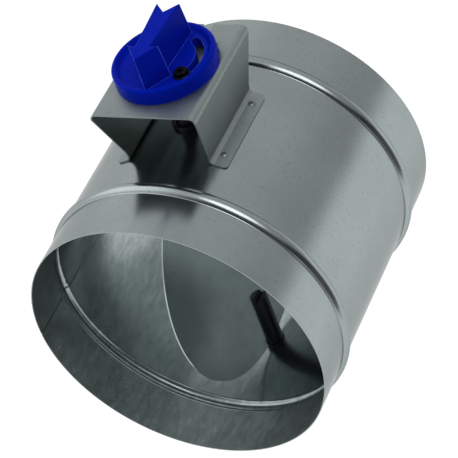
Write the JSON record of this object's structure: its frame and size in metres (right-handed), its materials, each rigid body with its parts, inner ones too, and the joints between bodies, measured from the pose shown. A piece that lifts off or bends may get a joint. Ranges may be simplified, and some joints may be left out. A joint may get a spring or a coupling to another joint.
{
  "type": "round damper",
  "caption": "Round ventilation duct damper: beaded steel casing, flat disc blade on a cross shaft, hat-section bracket and a hand knob with an arrow grip, locked by a screw in a curved slot.",
  "frame": {"origin": "middle of the inlet spigot's end plane, on the duct's axis", "axes": "+X along the duct from the inlet end to the outlet end; +Z along the blade's shaft, up through the bracket to the knob; +Y by the right-hand rule"},
  "size_m": [0.2, 0.2044, 0.2839],
  "materials": {
    "galvanised_sheet": "smooth galvanised, fairly bright",
    "zinc_fastener": "zinc plated",
    "black_nylon": "satin moulded",
    "blue_plastic": "satin moulded",
    "black_screw": "black oxide"
  },
  "bodies": {
    "casing": {"casing": "galvanised_sheet", "bracket": "galvanised_sheet", "rivet_inlet_right": "zinc_fastener", "rivet_inlet_left": "zinc_fastener", "rivet_outlet_right": "zinc_fastener", "rivet_outlet_left": "zinc_fastener", "upper_bush": "black_nylon", "lower_bush": "black_nylon", "plate_bush": "black_nylon", "lock_nut": "zinc_fastener"},
    "rotor": {"blade": "galvanised_sheet", "upper_blade_holder": "black_nylon", "lower_blade_holder": "black_nylon", "knob": "blue_plastic", "retaining_clip": "zinc_fastener"},
    "lock_screw": {"lock_screw": "black_screw"}
  },
  "joints": [
    {"name": "blade_turn", "type": "hinge", "parent": "casing", "child": "rotor", "pos_m": [0.1, 0, 0], "axis": [0, 0, -1], "range_deg": [0, 90]},
    {"name": "lock_screw_turn", "type": "hinge", "parent": "casing", "child": "lock_screw", "pos_m": [0.08616, -0.01837, 0.15], "axis": [0, 0, 1], "range_deg": [0, 360]}
  ]
}
